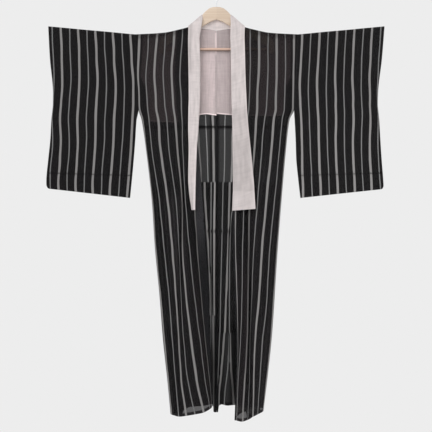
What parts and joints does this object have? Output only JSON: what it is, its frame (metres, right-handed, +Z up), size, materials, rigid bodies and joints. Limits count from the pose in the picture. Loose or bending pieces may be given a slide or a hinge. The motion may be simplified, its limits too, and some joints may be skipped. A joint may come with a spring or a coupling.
{
  "type": "kimono on a coat hanger",
  "caption": "Unlined striped summer kimono hanging open on a wooden coat hanger, wide pale collar folded outward, long square sleeves spread.",
  "frame": {"origin": "the inside top of the hanger's hook, where a rail or peg carries it", "axes": "+Z up, along the height; the kimono faces -Y and its depth lies along Y; +X to the right seen from the front, along the spread sleeves, which is the wearer's left"},
  "size_m": [1.301, 0.1451, 1.6565],
  "materials": {
    "striped_cloth": "sheer matte weave, black ground, pale stripes",
    "white_silk": "soft matte off-white with a faint pink cast",
    "sheer_white": "thin matte gauze over dark cloth",
    "hanger_wood": "pale satin lacquered hardwood",
    "bar_wood": "satin wood, a little redder than the body",
    "hook_steel": "bright plated steel wire"
  },
  "bodies": {
    "root": {"body_right": "striped_cloth", "body_left": "striped_cloth", "overlap_right": "striped_cloth", "overlap_left": "striped_cloth", "sleeve_right": "striped_cloth", "sleeve_left": "striped_cloth", "collar": "striped_cloth", "collar_lining": "white_silk", "shoulder_lining_right": "sheer_white", "shoulder_lining_left": "sheer_white", "seat_lining_right": "striped_cloth", "seat_lining_left": "striped_cloth", "hanger_body": "hanger_wood", "hanger_bar": "bar_wood", "hanger_hook": "hook_steel"}
  },
  "joints": []
}
